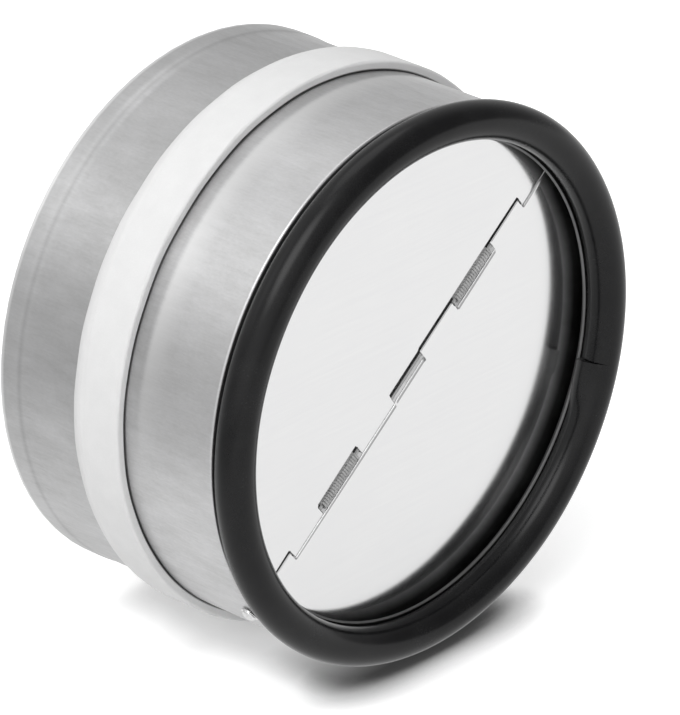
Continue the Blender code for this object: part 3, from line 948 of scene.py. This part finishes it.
def blade(name, side, material):
    """One blade: its grids joined into one sheet, then thickened to the inside."""
    points, faces, count = [], [], 0
    for grid in blade_surfaces():
        rows, columns = grid.shape[:2]
        points.append(on_hinge(grid, side).reshape(-1, 3))
        faces.append(grid_faces(rows, columns, False, False) + count)
        count += rows * columns
    data = mesh_of(name, np.concatenate(points), np.concatenate(faces))
    data.materials.append(material)
    made = bpy.data.objects.new(name, data)
    bpy.context.scene.collection.objects.link(made)
    weld(data)
    wall = made.modifiers.new("sheet", "SOLIDIFY")
    wall.thickness = BLADE_SHEET
    wall.offset = -1.0
    wall.use_even_offset = True
    return made


def weld(data):
    """Merge doubled points and turn the open sheet so that its flat side faces the duct's front."""
    body = bmesh.new()
    body.from_mesh(data)
    bmesh.ops.remove_doubles(body, verts=body.verts, dist=WELD_REACH)
    bmesh.ops.recalc_face_normals(body, faces=body.faces)
    widest = max(body.faces, key=lambda face: face.calc_area())
    if widest.normal.y > 0:
        bmesh.ops.reverse_faces(body, faces=body.faces)
    body.to_mesh(data)
    body.free()
    data.shade_smooth()
    data.set_sharp_from_angle(angle=math.radians(30))


print("blade grids:", [grid.shape[:2] for grid in blade_surfaces()])

# %% [markdown]
# The blades are the brightest thing in the picture: smooth rolled aluminium that mirrors the white room
# and, as a dark crescent, the rubber ring. The sheet's slight roughness blurs that crescent, and its
# faint waves bend it a little differently on each blade.

# %% Finish of the blades
def bright_sheet():
    """Smooth aluminium: faint rolling lines along the axle, slow waves, and thin haze."""
    made, shader, start = finish("blade_bright_aluminium", (0.84, 0.84, 0.845), 0.14, 1.0)
    turn = (0.0, HINGE_ANGLE, 0.0)
    lines = noise(start, stretched(start, (0.04, 1.0, 1.0), turn), 1500.0, 2.0)
    haze = noise(start, stretched(start, (1.0, 1.0, 1.0)), 45.0, 4.0, 0.6)
    wave = noise(start, stretched(start, (1.0, 1.0, 1.0)), 14.0, 1.0)
    cloud = (lines * 0.5 + haze * 0.5).clipped(0.3, 0.7)
    feed(shader, "Base Color", cloud.mixed((0.85, 0.85, 0.855), (0.88, 0.88, 0.88)))
    feed(shader, "Roughness", haze * 0.06 + lines * 0.03 + 0.08)
    slow = bumped(start, wave, 0.5 * MM, 0.4)
    feed(shader, "Normal", bumped(start, lines, 0.001 * MM, 0.4, slow))
    return made


blade_metal = bright_sheet()
for name, side in (("upper_blade", 1), ("lower_blade", -1)):
    sheet = blade(name + "_sheet", side, blade_metal)
    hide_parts(name)
    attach(sheet, name)
    print(name, "faces before the wall:", len(sheet.data.polygons))

# %% [markdown]
# Rod, caps and springs are drawn or plated steel. Rod and caps are profiles turned about the hinge line. The
# wire of a spring is a circle carried along a path: a helix round the rod with a leg that bends back to a
# blade.

# %% Finish of the small steel parts
def drawn_steel(name, tone, roughness):
    """Steel with fine lines along the axle and a little tarnish."""
    made, shader, start = finish(name, (tone,) * 3, roughness, 1.0)
    turn = (0.0, HINGE_ANGLE, 0.0)
    lines = noise(start, stretched(start, (0.05, 1.0, 1.0), turn), 6000.0, 2.0)
    tarnish = noise(start, stretched(start, (1.0, 1.0, 1.0)), 300.0, 3.0, 0.6)
    shade = (lines * 0.5 + tarnish * 0.5).clipped(0.3, 0.7)
    feed(shader, "Base Color", shade.mixed((tone * 0.7,) * 3, (tone * 1.2,) * 3))
    feed(shader, "Roughness", tarnish * 0.2 + (roughness - 0.1))
    feed(shader, "Normal", bumped(start, lines, 0.004 * MM, 0.5))
    return made


def lathe(name, profile, origin, axis, side, material, steps=64):
    """A profile of (radius, height) from pole to pole, turned about an axis through a point."""
    angle = np.linspace(0.0, 2 * math.pi, steps, endpoint=False)[:, None]
    axis = np.asarray(axis, float)
    side = np.asarray(side, float)
    third = np.cross(axis, side)
    radius, height = profile[None, :, 0, None], profile[None, :, 1, None]
    turn = np.cos(angle)[..., None] * side + np.sin(angle)[..., None] * third
    points = np.asarray(origin) + radius * turn + height * axis
    return piece(name, points, material, wrap_columns=False, sharp=35)


rod_metal = drawn_steel("rod_drawn_steel", 0.5, 0.4)
cap_metal = drawn_steel("cap_plated_steel", 0.8, 0.2)
spring_metal = drawn_steel("spring_wire_steel", 0.68, 0.8)
print("steel finishes made")

# %% The rod
ROD_HALF = SLEEVE_RADIUS + 1.1 * MM
ROD_CHAMFER = 0.15 * MM
POLE = 0.002 * MM
AXLE_CENTRE = np.array([0.0, AXLE_Y, 0.0])


def rod_profile():
    """From one end's middle out to the chamfer, along the rod and back to the other end's middle."""
    end = [(POLE, -ROD_HALF), (ROD_RADIUS - ROD_CHAMFER, -ROD_HALF), (ROD_RADIUS, -ROD_HALF + ROD_CHAMFER)]
    middle = run(end[-1], (ROD_RADIUS, ROD_HALF - ROD_CHAMFER), 2 * MM)
    other = [(radius, -height) for radius, height in end[::-1]]
    return np.concatenate([end, middle, other])


rod = lathe("axle_drawn_rod", rod_profile(), AXLE_CENTRE, ALONG, OUTWARD, rod_metal, 48)
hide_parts("axle_rod")
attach(rod, "housing")
print("rod length", round(2 * ROD_HALF / MM, 2), "mm")

# %% [markdown]
# A cap that is pressed on a rod's end is a small dome with a brim. Its bore is part of the same profile.

# %% The caps
CAP_RADIUS = 2.5 * MM
CAP_HEIGHT = 1.6 * MM
CAP_BRIM = 0.45 * MM
CAP_DOME = 2.0 * MM
CAP_BORE = 1.15 * MM
CAP_ROOF = 1.0 * MM
CAP_SEAT = SLEEVE_RADIUS + 0.3 * MM
BRIM_ROUND = 0.12 * MM


def cap_profile():
    """From the dome's top down over the brim, under it and up the bore to the roof's middle."""
    angle = np.linspace(0.0, math.pi / 2, 19)
    dome = np.stack([CAP_DOME * np.sin(angle), CAP_BRIM + (CAP_HEIGHT - CAP_BRIM) * np.cos(angle)], axis=-1)
    dome[0, 0] = POLE
    brim = [arc((CAP_RADIUS - BRIM_ROUND, CAP_BRIM - BRIM_ROUND), BRIM_ROUND, 90, 0, 4),
            arc((CAP_RADIUS - BRIM_ROUND, BRIM_ROUND), BRIM_ROUND, 0, -90, 4)]
    bore = [(CAP_BORE, 0.0), (CAP_BORE, CAP_ROOF), (POLE, CAP_ROOF)]
    return np.concatenate([dome, *brim, bore])


for name, side in (("axle_cap_upper", 1), ("axle_cap_lower", -1)):
    seat = AXLE_CENTRE + side * CAP_SEAT * ALONG
    cap = lathe(name + "_dome", cap_profile(), seat, side * ALONG, OUTWARD, cap_metal, 64)
    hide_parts(name)
    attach(cap, "housing")
print("caps at", round(CAP_SEAT / MM, 2), "mm from the axis")

# %% [markdown]
# A torsion spring twists more and more from its middle to its legs when the blades open. So each spring is
# two halves that meet in the middle of the coil: one half's leg follows the upper blade, the other's the
# lower blade, and the twist between is spread along the coil. Its turns nearly touch, as they do in the
# photograph, where each coil shows as an even grey.

# %% Path of half a spring
WIRE_RADIUS = 0.4 * MM
COIL_RADIUS = ROD_RADIUS + ROD_GAP + WIRE_RADIUS
SPRING_TURNS = 20
SPRING_PITCH = 0.81 * MM
SPRING_MIDDLE = -(TABS[0][1] + TABS[1][0]) / 2
SPRING_LEG = 17.0 * MM
SPRING_FOOT = 3.0 * MM
FOOT_GAP = 0.15 * MM
FOOT_Y = -KNUCKLE_RADIUS + BLADE_SHEET + FOOT_GAP + WIRE_RADIUS


def half_spring(end):
    """Wire's centre line: helix from the coil's middle to one end, a bend to the blade, a straight foot.

    The bend falls with the cosine of the square root of the way along, so that it is steepest at the coil and
    keeps clear of the other blade when both are open.
    """
    turns = SPRING_TURNS / 2
    angle = end * np.linspace(0.0, 2 * math.pi * turns, int(turns * 32) + 1) + math.pi * SPRING_TURNS
    x = SPRING_MIDDLE + SPRING_PITCH * (angle / (2 * math.pi) - turns)
    coil = np.stack([x, COIL_RADIUS * np.cos(angle), -COIL_RADIUS * np.sin(angle)], axis=-1)
    share = np.linspace(0.0, 1.0, 33)[1:] ** 1.5
    leg_y = FOOT_Y + (COIL_RADIUS - FOOT_Y) * (1 + np.cos(math.pi * np.sqrt(share))) / 2
    leg_z = -end * (SPRING_LEG - SPRING_FOOT) * share
    leg = np.stack([np.full(len(share), x[-1]), leg_y, leg_z], axis=-1)
    foot = np.array([[x[-1], FOOT_Y, -end * SPRING_LEG]])
    return np.concatenate([coil, leg, foot])


def wire_grid(path, radius, sides=12):
    """A circle carried along the path, square to it, with its ends drawn in to a point."""
    heading = np.gradient(path, axis=0)
    heading /= np.linalg.norm(heading, axis=1)[:, None]
    first = np.cross(heading, np.array([1.0, 0.0, 0.0]))
    first /= np.linalg.norm(first, axis=1)[:, None]
    second = np.cross(heading, first)
    side = np.linspace(0.0, 2 * math.pi, sides, endpoint=False)[None, :, None]
    round_it = np.cos(side) * first[:, None, :] + np.sin(side) * second[:, None, :]
    body = path[:, None, :] + radius * round_it
    start = path[0] + POLE * round_it[:1]
    stop = path[-1] + POLE * round_it[-1:]
    return np.concatenate([start, body, stop])


print("points along half a spring:", len(half_spring(1)))

# %% The springs
for name, side in (("upper_spring", 1), ("lower_spring", -1)):
    for end in (-1, 1):
        grid = on_hinge(wire_grid(half_spring(end), WIRE_RADIUS), side)
        label = name + ("_inner_half" if end < 0 else "_outer_half")
        wire = piece(label, grid, spring_metal, wrap_rows=False, sharp=50)
        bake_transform(wire)
        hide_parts(name)
print("spring halves made")
